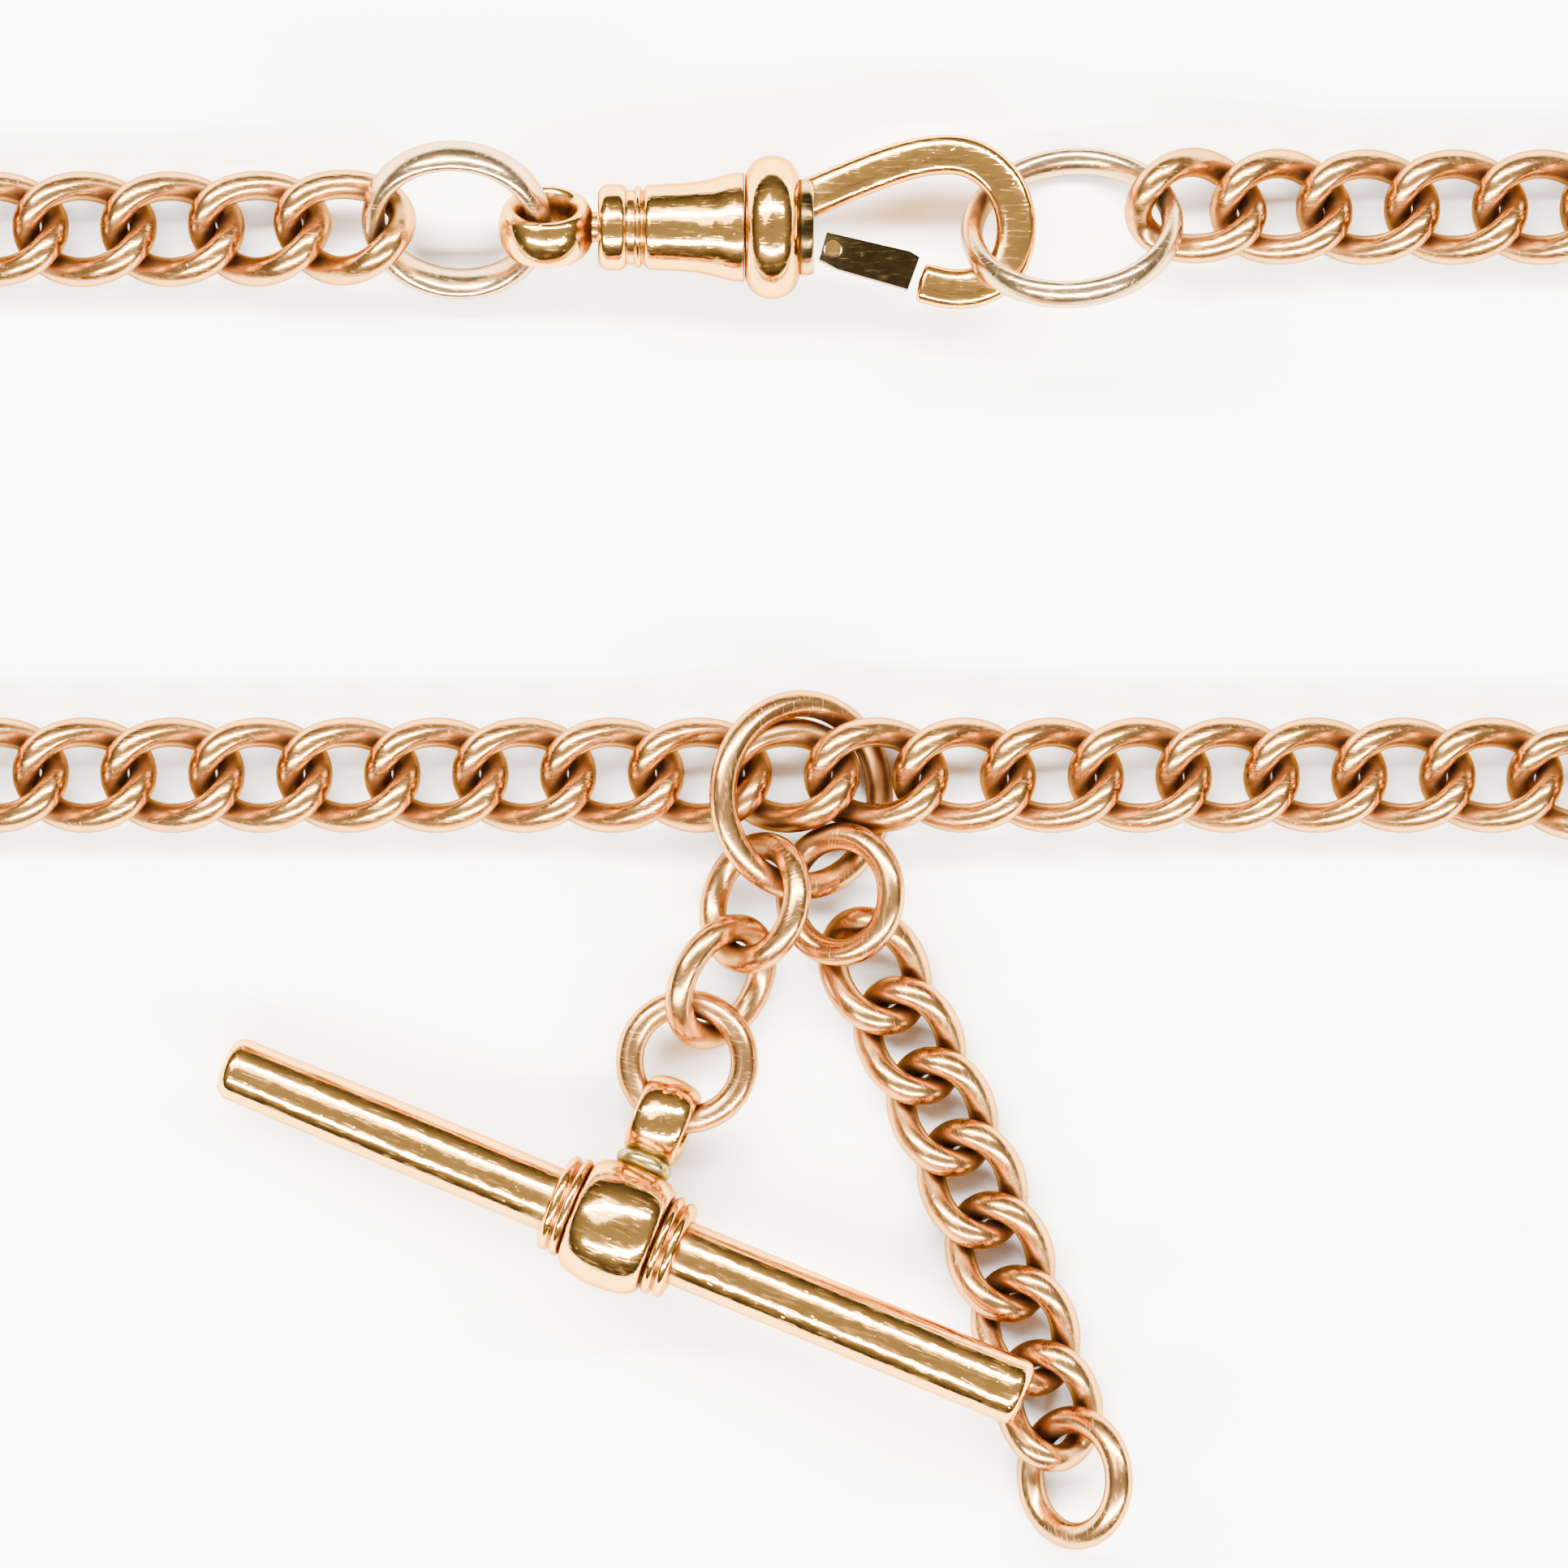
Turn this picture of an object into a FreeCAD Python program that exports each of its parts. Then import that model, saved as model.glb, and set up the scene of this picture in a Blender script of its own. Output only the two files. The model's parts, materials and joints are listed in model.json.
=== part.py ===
import FreeCAD, Part
import math
import os
import Sketcher

V = FreeCAD.Vector
UP = V(0, 0, 1)

doc = FreeCAD.newDocument("pocket_watch_chain")
sheet = doc.addObject("Spreadsheet::Sheet", "dims")

# Driving dimensions, millimetres and degrees. Every row is (alias, value, meaning).
DIMS = [
    ("origin_x", 1.128, "layout shift that puts the box centre on the origin"),
    ("origin_y", 2.390, "layout shift that puts the box centre on the origin"),
    ("wire_thin", 1.115, "curb wire, across the link's outline"),
    ("wire_wide", 1.31, "curb wire, along the link's own axis"),
    ("side_swell", 0.08, "how much stouter the wire is along a link's sides than at its worn ends"),
    ("twist", 46.0, "turn of each curb link end out of the flat"),
    ("fullness", 0.3, "squareness of the curb link's outline"),
    ("main_pitch", 3.56, "chain pitch, main rows"),
    ("main_length", 5.86, "outside length of a main link"),
    ("main_width", 4.69, "outside width of a main link"),
    ("drop_pitch", 3.165, "chain pitch, drop branch"),
    ("drop_length", 5.48, "outside length of a drop link"),
    ("drop_width", 4.36, "outside width of a drop link"),
    ("rest_height", 1.46, "height of a flat curb link's middle over the table"),
    ("row_lift", 0.74, "how far the centre ring's wire lifts the lower row"),
    ("lift_spread", 7.0, "half length of the lifted stretch"),
    ("lower_y", 0.36, "lower row"),
    ("left_y", 22.47, "upper row, left of the swivel"),
    ("right_y", 23.36, "upper row, right of the swivel"),
    ("lower_shift", 0.16, "middle link of the lower row"),
    ("right_start", 14.75, "first pivot of the upper right row"),
    ("small_ring", 2.35, "small jump ring, wire centre radius"),
    ("small_wire", 0.56, "small jump ring, wire radius"),
    ("left_ring_wall", 0.47, "left clip ring, half its wall"),
    ("left_ring_face", 0.80, "left clip ring, half its width"),
    ("left_ring_rad", 3.359, "left clip ring, middle of its wall"),
    ("left_ring_x", -13.206, "left clip ring middle"),
    ("left_ring_y", 22.719, "left clip ring middle"),
    ("left_ring_z", 3.131, "left clip ring middle"),
    ("left_ring_tilt", 43.69, "left clip ring, tilted up"),
    ("left_ring_side", -93.01, "the way the left clip ring faces as it tilts"),
    ("right_ring_wall", 0.45, "right clip ring, half its wall"),
    ("right_ring_face", 0.62, "right clip ring, half its width"),
    ("right_ring_rad", 4.040, "right clip ring, middle of its wall"),
    ("right_ring_x", 11.6, "right clip ring middle"),
    ("right_ring_y", 22.41, "right clip ring middle"),
    ("right_ring_z", 3.43, "right clip ring middle"),
    ("right_ring_tilt", 45.25, "right clip ring, tilted up"),
    ("right_ring_side", 96.73, "the way the right clip ring faces as it tilts"),
    ("centre_ring_rad", 3.695, "centre ring, wire centre radius"),
    ("centre_wire", 0.55, "centre ring, wire radius"),
    ("centre_x", 0.715, "centre ring middle"),
    ("centre_y", -0.446, "centre ring middle"),
    ("centre_z", 2.468, "centre ring middle"),
    ("centre_tilt", 30.91, "centre ring, tilted up"),
    ("centre_side", 0.18, "the way the centre ring faces as it tilts"),
    ("ring_end_rise", 1.4, "how far each clip ring holds up the chain's end"),
    ("ring_end_ease", 0.4, "share of that rise left one link further on"),
    ("bar_left", 17.2, "toggle bar, middle to left tip"),
    ("bar_right", 17.8, "toggle bar, middle to right tip"),
    ("bar_rad", 1.35, "toggle bar"),
    ("bar_round", 0.5, "toggle bar, tip rounding"),
    ("barrel_rad", 2.6, "toggle barrel, largest"),
    ("barrel_end_rad", 2.15, "toggle barrel, at its ends"),
    ("barrel_half", 1.72, "toggle barrel, half length"),
    ("bar_collar_rad", 2.1, "toggle collar, outside"),
    ("bar_collar_len", 1.06, "toggle collar, length"),
    ("bar_heading", -22.2, "toggle bar on the table, seen from above"),
    ("bar_rise", 5.4, "toggle bar, right end raised on the drop chain"),
    ("bar_droop", 13.5, "toggle bar, turned on its own axis"),
    ("eye_reach", 4.73, "toggle eye, hole middle to bar axis"),
    ("eye_hole", 0.95, "toggle eye, hole radius"),
    ("eye_wall", 0.86, "toggle eye, wall"),
    ("eye_width", 2.2, "toggle eye, along the hole"),
    ("neck_rad", 0.75, "toggle eye, solder bead"),
    ("swivel_x", -7.48, "swivel barrel, left face"),
    ("swivel_y", 22.45, "swivel axis"),
    ("swivel_z", 3.0, "swivel axis"),
    ("loop_hole", 1.02, "swivel loop, hole radius"),
    ("loop_wall", 0.92, "swivel loop, wall"),
    ("loop_width", 2.05, "swivel loop, along the hole"),
    ("loop_roll", 34.0, "swivel loop, turned on the swivel axis"),
    ("post_rad", 0.62, "swivel post"),
    ("post_head_rad", 1.05, "swivel post, riveted head"),
    ("post_gap", 0.1, "swivel post, running gap all round"),
    ("hook_wide", 1.6, "hook, width in its own plane"),
    ("hook_thick", 1.4, "hook, thickness"),
    ("hook_bevel", 0.4, "hook, corner rounding"),
    ("gate_thick", 1.3, "gate lever, thickness"),
    ("gate_pin_rad", 0.32, "gate pin"),
    ("barrel_bead", 1.74, "swivel barrel, end bead"),
    ("bead_len", 1.28, "swivel barrel, end bead length"),
    ("barrel_len", 5.9, "swivel barrel, length"),
    ("barrel_flare", 2.2, "swivel barrel, flared end"),
    ("barrel_wall", 0.8, "swivel barrel, wall that holds the post"),
    ("post_head_len", 1.2, "swivel post, riveted head length"),
    ("collar_rad", 2.9, "swivel collar"),
    ("collar_len", 2.2, "swivel collar, length"),
    ("loop_gap", 0.15, "swivel loop to barrel"),
    ("hook_base_rad", 1.95, "hook base disc"),
    ("hook_base_len", 0.6, "hook base disc, length"),
    ("hook_reach", 8.74, "collar to the middle of the hook's bow"),
    ("hook_high", 2.92, "hook arm, highest"),
    ("hook_low", 2.5, "hook nose, lowest"),
    ("gate_pin_x", 9.45, "gate pin"),
    ("gate_pin_y", -0.9, "gate pin"),
    ("gate_lug", 0.35, "hook lug on each side of the gate"),
    ("gate_root", 0.42, "gate lever behind the pin"),
    ("gate_len", 3.35, "gate lever in front of the pin"),
    ("gate_wide", 1.5, "gate lever, width"),
    ("gate_angle", -16.0, "gate lever, shut"),
    ("toggle_ring_1_x", -1.172, "first toggle ring middle"),
    ("toggle_ring_1_y", -4.783, "first toggle ring middle"),
    ("toggle_ring_1_z", 2.999, "first toggle ring middle"),
    ("toggle_ring_1_tilt", 46.28, "first toggle ring, tilted up"),
    ("toggle_ring_1_side", 161.97, "the way the first toggle ring faces as it tilts"),
    ("toggle_ring_2_x", -2.541, "second toggle ring middle"),
    ("toggle_ring_2_y", -7.984, "second toggle ring middle"),
    ("toggle_ring_2_z", 2.555, "second toggle ring middle"),
    ("toggle_ring_2_tilt", 51.81, "second toggle ring, tilted up"),
    ("toggle_ring_2_side", -27.51, "the way the second toggle ring faces as it tilts"),
    ("toggle_ring_3_x", -3.919, "third toggle ring middle"),
    ("toggle_ring_3_y", -11.202, "third toggle ring middle"),
    ("toggle_ring_3_z", 2.321, "third toggle ring middle"),
    ("toggle_ring_3_tilt", 8.59, "third toggle ring, tilted up"),
    ("toggle_ring_3_side", 175.44, "the way the third toggle ring faces as it tilts"),
    ("toggle_x", -6.722, "toggle bar, middle of its barrel"),
    ("toggle_y", -17.826, "toggle bar, middle of its barrel"),
    ("toggle_z", 3.324, "toggle bar, middle of its barrel"),
    ("drop_ring_x", 2.26, "drop ring middle"),
    ("drop_ring_y", -4.45, "drop ring middle"),
    ("drop_ring_z", 2.52, "drop ring middle"),
    ("drop_ring_tilt", 29.3, "drop ring, tilted up"),
    ("drop_ring_side", 174.8, "the way the drop ring faces as it tilts"),
    ("drop_x", 2.95, "first drop pivot"),
    ("drop_y", -6.15, "first drop pivot"),
    ("drop_z", 1.55, "first drop pivot"),
    ("drop_run", -62.5, "first drop link, direction"),
    ("drop_bend", 1.9, "turn from one drop link to the next"),
    ("drop_height", 1.40, "height of a flat drop link's middle over the table"),
    ("end_ring_x", 11.741, "end ring middle"),
    ("end_ring_y", -28.037, "end ring middle"),
    ("end_ring_z", 2.165, "end ring middle"),
    ("end_ring_tilt", 42.47, "end ring, tilted up"),
    ("end_ring_side", 179.30, "the way the end ring faces as it tilts"),
]
for row, (alias, value, meaning) in enumerate(DIMS, start=1):
    sheet.set("A%d" % row, alias)
    sheet.set("B%d" % row, str(value))
    sheet.set("C%d" % row, meaning)
    sheet.setAlias("B%d" % row, alias)
doc.recompute()


def dim(alias):
    return float(sheet.get(alias))


def deg(alias):
    return math.radians(dim(alias))


def at(x, y, z):
    """A point of the layout, in the part's frame."""
    return V(x + dim("origin_x"), y + dim("origin_y"), z)


def heading(angle, rise=0.0):
    """Unit vector at an angle in the table's plane, in degrees, raised by another."""
    a = math.radians(angle)
    e = math.radians(rise)
    return V(math.cos(a) * math.cos(e), math.sin(a) * math.cos(e), math.sin(e))


def facing(direction, roll=0.0):
    """Rotation that takes X to a direction, keeps Z as upright as it can, then rolls about X."""
    aim = FreeCAD.Rotation(direction, V(0, 0, 0), UP, "XZY")
    return aim.multiply(FreeCAD.Rotation(V(1, 0, 0), roll))


# ---------------------------------------------------------------- curb links

def curb_pole_rows(half_len, half_wid, along=24, around=8):
    """Control points of a twisted oval link: sections of the wire, all the way round."""
    twist = -deg("twist")
    full = dim("fullness")
    grow = 3.0 / (2.0 + math.cos(2 * math.pi / around))
    stretch = 3.0 / (2.0 + math.cos(2 * math.pi / along))

    def centre(t):
        lean = twist * math.cos(t)
        y = half_wid * math.sin(t) * (1 + full * math.cos(t) ** 2)
        return V(half_len * math.cos(t), y * math.cos(lean), y * math.sin(lean)) * stretch

    rows = []
    for i in range(along):
        t = 2 * math.pi * i / along
        run = centre(t + 1e-4).sub(centre(t - 1e-4))
        run.normalize()
        lean = twist * math.cos(t)
        axial = V(0, -math.sin(lean), math.cos(lean))
        axial = axial.sub(run * run.dot(axial))
        axial.normalize()
        radial = run.cross(axial)
        turns = [2 * math.pi * j / around for j in range(around)]
        swell = 1 + dim("side_swell") * math.sin(t) ** 2
        thin = dim("wire_thin") / 2 * grow * swell
        wide = dim("wire_wide") / 2 * grow
        rows.append([
            centre(t) + radial * (thin * math.cos(u)) + axial * (wide * math.sin(u)) for u in turns
        ])
    return rows


def curb_solid(length, width):
    """One closed curb link about the origin, long way along X."""
    thin = dim("wire_thin")
    rows = curb_pole_rows((length - thin) / 2, (width - thin * (1 + dim("side_swell"))) / 2)
    surface = Part.BSplineSurface()
    along = len(rows)
    around = len(rows[0])
    surface.buildFromPolesMultsKnots(
        rows, [1] * (along + 1), [1] * (around + 1), list(range(along + 1)),
        list(range(around + 1)), True, True, 3, 3)
    solid = Part.Solid(Part.Shell([surface.toShape()]))
    if solid.Volume < 0:
        solid.reverse()
    return solid


def link_placement(start, end):
    """A link lies along the line between the two pivots that it joins."""
    return FreeCAD.Placement((start + end) * 0.5, facing(end.sub(start)))


main_link = curb_solid(dim("main_length"), dim("main_width"))
drop_link = curb_solid(dim("drop_length"), dim("drop_width"))
nodes = []


def keep(obj, label):
    obj.Label = label
    nodes.append(obj)
    return obj


def add_link(label, solid, start, end):
    link = doc.addObject("Part::Feature", label)
    link.Shape = solid
    link.Placement = link_placement(start, end)
    return keep(link, label)


def add_links(label, solid, pivots):
    """A run of links that share one node: separate solids, one for each pair of pivots."""
    copies = []
    for start, end in zip(pivots, pivots[1:]):
        copy = solid.copy()
        copy.Placement = link_placement(start, end)
        copies.append(copy)
    run = doc.addObject("Part::Feature", label)
    run.Shape = Part.makeCompound(copies)
    return keep(run, label)


# ---------------------------------------------------------------- main rows

ROW_HALF = 8          # links on each side of the lower row's middle link
UPPER_LINKS = 4       # separate links at each end of the upper row
TURN_LINKS = 12       # links in the bend at each end
LEFT_LAST = -5        # lower link that lies under the upper left link next to the clip ring

pitch = dim("main_pitch")


def lift(x):
    """How far the lower row is held up by the ring that passes under it."""
    return dim("row_lift") * math.exp(-((x - dim("centre_x") - 2.6) / dim("lift_spread")) ** 2)


def lower_pivot(k):
    """Pivot k of the lower row: link k joins pivots k and k + 1, and link 0 is the middle one."""
    x = dim("lower_shift") + (k - 0.5) * pitch
    return at(x, dim("lower_y"), dim("rest_height") + lift(x))


def end_rise(links_away):
    """The chain climbs to the clip ring over its last two links."""
    shares = {0: 1.0, 1: dim("ring_end_ease")}
    return dim("ring_end_rise") * shares.get(links_away, 0.0)


def end_draw(links_away):
    """How far the climb draws a pivot back along the row, as the links keep their pitch."""
    total = 0
    for n in (1, 0):
        if n >= links_away:
            climb = end_rise(n) - end_rise(n + 1)
            total += pitch - math.sqrt(pitch ** 2 - climb ** 2)
    return total


def left_pivot(k):
    """Pivots of the upper left row stand over those of the lower row; the last one is held up."""
    away = LEFT_LAST + 1 - k
    x = dim("lower_shift") + (k - 0.5) * pitch - end_draw(away)
    return at(x, dim("left_y"), dim("rest_height") + end_rise(away))


def right_pivot(k):
    x = dim("right_start") + k * pitch + end_draw(k)
    return at(x, dim("right_y"), dim("rest_height") + end_rise(k))


def turn_radius(chord, links):
    """Radius of the bend that takes a whole number of links between two rows."""
    low = chord / 2 + 1e-6
    high = chord * 2
    for _ in range(60):
        mid = (low + high) / 2
        span = 2 * math.pi - 2 * math.asin(chord / 2 / mid)
        if links * 2 * math.asin(pitch / 2 / mid) > span:
            low = mid
        else:
            high = mid
    return mid


def turn_pivots(lower, upper, side):
    """Pivots from the lower row round to the upper one; side is -1 for left and 1 for right."""
    chord = upper.sub(lower)
    length = chord.Length
    radius = turn_radius(length, TURN_LINKS)
    across = chord * (1 / length)
    out = V(across.y * side * -1, across.x * side, 0)
    if out.x * side < 0:
        out = out * -1
    middle = (lower + upper) * 0.5 + out * math.sqrt(radius ** 2 - (length / 2) ** 2)
    first = math.asin(length / 2 / radius)
    step = (2 * math.pi - 2 * first) / TURN_LINKS
    pivots = []
    for i in range(TURN_LINKS + 1):
        a = first + i * step
        pivots.append(middle - across * (radius * math.sin(a)) - out * (radius * math.cos(a)))
    return pivots


for k in range(-ROW_HALF, ROW_HALF + 1):
    side = "left" if k < 0 else "right"
    name = "lower_link_middle" if k == 0 else "lower_link_%s_%d" % (side, abs(k))
    add_link(name, main_link, lower_pivot(k), lower_pivot(k + 1))

for n in range(UPPER_LINKS):
    k = LEFT_LAST - n
    add_link("upper_left_link_%d" % (n + 1), main_link, left_pivot(k + 1), left_pivot(k))
for n in range(UPPER_LINKS):
    add_link("upper_right_link_%d" % (n + 1), main_link, right_pivot(n), right_pivot(n + 1))

left_low = lower_pivot(-ROW_HALF)
left_low_end = left_low - V(pitch, 0, 0)
left_high = left_pivot(LEFT_LAST + 1 - UPPER_LINKS)
left_high_end = left_high - V(pitch, 0, 0)
add_link("turn_left_link_first", main_link, left_low, left_low_end)
add_link("turn_left_link_last", main_link, left_high_end, left_high)
add_links("turn_left_links", main_link, turn_pivots(left_low_end, left_high_end, -1))

right_low = lower_pivot(ROW_HALF + 1)
right_low_end = right_low
right_high = right_pivot(UPPER_LINKS)
right_high_end = right_high + V(pitch, 0, 0)
add_link("turn_right_link_last", main_link, right_high, right_high_end)
add_links("turn_right_links", main_link, turn_pivots(right_low_end, right_high_end, 1))


# ---------------------------------------------------------------- turned and ring pieces

def outline(body, name, points):
    """A closed sketch in the body's XY plane; both coordinates of each corner are expressions."""
    sketch = body.newObject("Sketcher::SketchObject", name)
    corners = []
    for x, y in points:
        corners.append(V(float(sketch.evalExpression(x)), float(sketch.evalExpression(y)), 0))
    ends = corners[1:] + corners[:1]
    for start, end in zip(corners, ends):
        sketch.addGeometry(Part.LineSegment(start, end), False)
    last = len(points) - 1
    for i, (x, y) in enumerate(points):
        before = last if i == 0 else i - 1
        sketch.addConstraint(Sketcher.Constraint("Coincident", before, 2, i, 1))
        for kind, text, value in (("DistanceX", x, corners[i].x), ("DistanceY", y, corners[i].y)):
            if abs(value) < 1e-9:
                axis = -2 if kind == "DistanceX" else -1
                sketch.addConstraint(Sketcher.Constraint("PointOnObject", i, 1, axis))
            else:
                held = sketch.addConstraint(Sketcher.Constraint(kind, -1, 1, i, 1, value))
                sketch.setExpression("Constraints[%d]" % held, text)
    return sketch


def turned(label, points):
    """A body turned about its own X axis from an outline of (x, radius) expressions."""
    body = doc.addObject("PartDesign::Body", label)
    turn = body.newObject("PartDesign::Revolution", label + "_turn")
    turn.Profile = outline(body, label + "_outline", points)
    turn.ReferenceAxis = (turn.Profile[0], ["H_Axis"])
    turn.Angle = 360
    doc.recompute()
    return keep(body, label)


def round_rims(body, radius_text, places):
    """Round the circular edges that stand at the given (x, radius) places."""
    base = body.Tip
    names = []
    for i, edge in enumerate(base.Shape.Edges, start=1):
        curve = edge.Curve
        if not isinstance(curve, Part.Circle):
            continue
        for x, rad in places:
            if abs(curve.Radius - rad) < 1e-3 and abs(curve.Center.x - x) < 1e-3:
                names.append("Edge%d" % i)
    fillet = body.newObject("PartDesign::Fillet", body.Name + "_round")
    fillet.Base = (base, names)
    fillet.setExpression("Radius", radius_text)
    doc.recompute()
    return fillet


def band_ring(label, radius_text, wall_text, face_text):
    """A ring of oval section about its own Y axis: wall and face are half sizes of the section."""
    body = doc.addObject("PartDesign::Body", label)
    sketch = body.newObject("Sketcher::SketchObject", label + "_section")
    radius = float(sketch.evalExpression(radius_text))
    wall = float(sketch.evalExpression(wall_text))
    face = float(sketch.evalExpression(face_text))
    middle = V(radius, 0, 0)
    sketch.addGeometry(Part.Ellipse(middle + V(0, face, 0), middle + V(wall, 0, 0), middle), False)
    sketch.exposeInternalGeometry(0)
    doc.recompute()
    sketch.addConstraint(Sketcher.Constraint("PointOnObject", 0, 3, -1))
    sketch.addConstraint(Sketcher.Constraint("Vertical", 1))
    for kind, args, text in (
            ("DistanceX", (-1, 1, 0, 3, radius), radius_text),
            ("Distance", (1, 2 * face), "2 * (%s)" % face_text),
            ("Distance", (2, 2 * wall), "2 * (%s)" % wall_text)):
        held = sketch.addConstraint(Sketcher.Constraint(kind, *args))
        sketch.setExpression("Constraints[%d]" % held, text)
    turn = body.newObject("PartDesign::Revolution", label + "_turn")
    turn.Profile = sketch
    turn.ReferenceAxis = (sketch, ["V_Axis"])
    turn.Angle = 360
    doc.recompute()
    return keep(body, label)


def wire_ring(label, radius_alias, wire_alias):
    """A plain ring of round wire about its own Z axis."""
    ring = doc.addObject("Part::Torus", label)
    ring.setExpression("Radius1", "dims." + radius_alias)
    ring.setExpression("Radius2", "dims." + wire_alias)
    return keep(ring, label)


ON_EDGE = FreeCAD.Placement(V(0, 0, 0), FreeCAD.Rotation(V(1, 0, 0), 90))


# ---------------------------------------------------------------- swivel clip and its two rings

swivel_frame = FreeCAD.Placement(
    at(dim("swivel_x"), dim("swivel_y"), dim("swivel_z")), FreeCAD.Rotation())

barrel = turned("swivel_barrel", [
    ("dims.post_gap * 0", "dims.post_rad + dims.post_gap"),
    ("dims.post_gap * 0", "dims.barrel_bead * 0.93"),
    ("dims.bead_len * 0.2", "dims.barrel_bead"),
    ("dims.bead_len * 0.8", "dims.barrel_bead"),
    ("dims.bead_len", "dims.barrel_bead * 0.88"),
    ("dims.bead_len * 1.12", "dims.barrel_bead * 0.88"),
    ("dims.bead_len * 1.12", "dims.barrel_bead * 0.96"),
    ("dims.bead_len * 1.32", "dims.barrel_bead * 0.96"),
    ("dims.bead_len * 1.36", "dims.barrel_bead * 1.0"),
    ("dims.barrel_len * 0.56", "dims.barrel_bead * 1.03"),
    ("dims.barrel_len * 0.78", "dims.barrel_bead * 1.16"),
    ("dims.barrel_len * 0.92", "dims.barrel_flare"),
    ("dims.barrel_len", "dims.barrel_flare"),
    ("dims.barrel_len", "dims.post_head_rad + dims.post_gap"),
    ("dims.barrel_wall", "dims.post_head_rad + dims.post_gap"),
    ("dims.barrel_wall", "dims.post_rad + dims.post_gap"),
])
barrel.Placement = swivel_frame

collar = turned("swivel_collar", [
    ("dims.barrel_len", "dims.post_gap * 0"),
    ("dims.barrel_len", "dims.collar_rad"),
    ("dims.barrel_len + dims.collar_len", "dims.collar_rad"),
    ("dims.barrel_len + dims.collar_len", "dims.post_gap * 0"),
])
collar_end = dim("barrel_len") + dim("collar_len")
round_rims(collar, "dims.collar_len * 0.44", [
    (dim("barrel_len"), dim("collar_rad")), (collar_end, dim("collar_rad"))])
collar.Placement = swivel_frame

loop_out = dim("loop_hole") + dim("loop_wall")
loop = band_ring(
    "swivel_loop", "dims.loop_hole + dims.loop_wall / 2", "dims.loop_wall / 2", "dims.loop_width / 2")
loop_frame = FreeCAD.Placement(
    V(-loop_out - dim("loop_gap"), 0, 0), FreeCAD.Rotation(V(1, 0, 0), dim("loop_roll")))
loop.Placement = swivel_frame.multiply(loop_frame)


def post_solid():
    """The post starts on the loop, runs through the barrel's end wall and is riveted over inside."""
    wall = dim("barrel_wall")
    gap = dim("post_gap")
    head_start = wall + gap
    start = -loop_out / 2
    shaft = Part.makeCylinder(dim("post_rad"), head_start - start, V(start, 0, 0), V(1, 0, 0))
    head = Part.makeCylinder(dim("post_head_rad"), dim("post_head_len"), V(head_start, 0, 0), V(1, 0, 0))
    section = Part.Ellipse(
        V(0, dim("loop_width") / 2, 0), V(dim("loop_wall") / 2, 0, 0), V(0, 0, 0))
    section.translate(V(dim("loop_hole") + dim("loop_wall") / 2, 0, 0))
    face = Part.Face(Part.Wire([section.toShape()]))
    body = face.revolve(V(0, 0, 0), V(0, 1, 0), 360)
    body.Placement = loop_frame
    near = Part.makeBox(20, 20, 20, V(-loop_out - dim("loop_gap"), -10, -10))
    hole = Part.makeCylinder(dim("loop_hole") + dim("loop_wall") / 2, 10, V(0, -5, 0), V(0, 1, 0))
    hole.Placement = loop_frame
    return shaft.fuse(head).cut(body).cut(hole).common(near)


post = doc.addObject("Part::Feature", "swivel_post")
post.Shape = post_solid()
post.Placement = swivel_frame
keep(post, "swivel_post")


def hook_path():
    """Centre line of the hook: out along the arm, round the bow and back to the nose."""
    reach = dim("hook_reach")
    high = dim("hook_high")
    low = -dim("hook_low")
    root = collar_end
    points = [
        V(root + 0.25, high * 0.38, 0),
        V(root + reach * 0.30, high * 0.72, 0),
        V(root + reach * 0.60, high * 0.985, 0),
        V(root + reach * 0.78, high * 0.96, 0),
        V(root + reach * 0.94, high * 0.60, 0),
        V(root + reach, -0.1 * high, 0),
        V(root + reach * 0.94, low * 0.70, 0),
        V(root + reach * 0.78, low * 0.99, 0),
        V(root + reach * 0.55, low * 0.88, 0),
    ]
    curve = Part.BSplineCurve()
    curve.interpolate(points)
    return curve


def rounded_section(wide, tall, corner):
    """A rounded rectangle in the YZ plane."""
    box = Part.makeBox(1, wide, tall, V(-0.5, -wide / 2, -tall / 2))
    edges = [e for e in box.Edges if abs(e.Vertexes[0].X - e.Vertexes[-1].X) > 0.5]
    cut = box.makeFillet(corner, edges)
    ends = [f for f in cut.Faces if abs(f.CenterOfMass.x - 0.5) < 1e-6]
    wire = ends[0].OuterWire
    wire.translate(V(-0.5, 0, 0))
    return wire


def hook_solid():
    curve = hook_path()
    start = curve.value(curve.FirstParameter)
    run = curve.tangent(curve.FirstParameter)[0]
    section = rounded_section(dim("hook_wide"), dim("hook_thick"), dim("hook_bevel"))
    section.Placement = FreeCAD.Placement(start, facing(run))
    pipe = Part.BRepOffsetAPI.MakePipeShell(Part.Wire([curve.toShape()]))
    pipe.setBiNormalMode(V(0, 0, 1))
    pipe.add(section)
    pipe.build()
    pipe.makeSolid()
    disc = Part.makeCylinder(dim("hook_base_rad"), dim("hook_base_len"), V(collar_end, 0, 0), V(1, 0, 0))
    solid = disc.fuse(pipe.shape())
    inner = dim("gate_thick") / 2 + 0.05
    lug_end = dim("gate_pin_x") + dim("gate_pin_rad") + 0.3
    for low in (inner, -inner - dim("gate_lug")):
        lug = Part.makeBox(
            lug_end - collar_end, 2 * (dim("gate_pin_rad") + 0.25), dim("gate_lug"),
            V(collar_end, dim("gate_pin_y") - dim("gate_pin_rad") - 0.25, low))
        solid = solid.fuse(lug)
    bore = Part.makeCylinder(
        dim("gate_pin_rad"), 6, V(dim("gate_pin_x"), dim("gate_pin_y"), -3), V(0, 0, 1))
    return solid.cut(bore).removeSplitter()


hook = doc.addObject("Part::Feature", "swivel_hook")
hook.Shape = hook_solid()
hook.Placement = swivel_frame
keep(hook, "swivel_hook")

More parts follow.
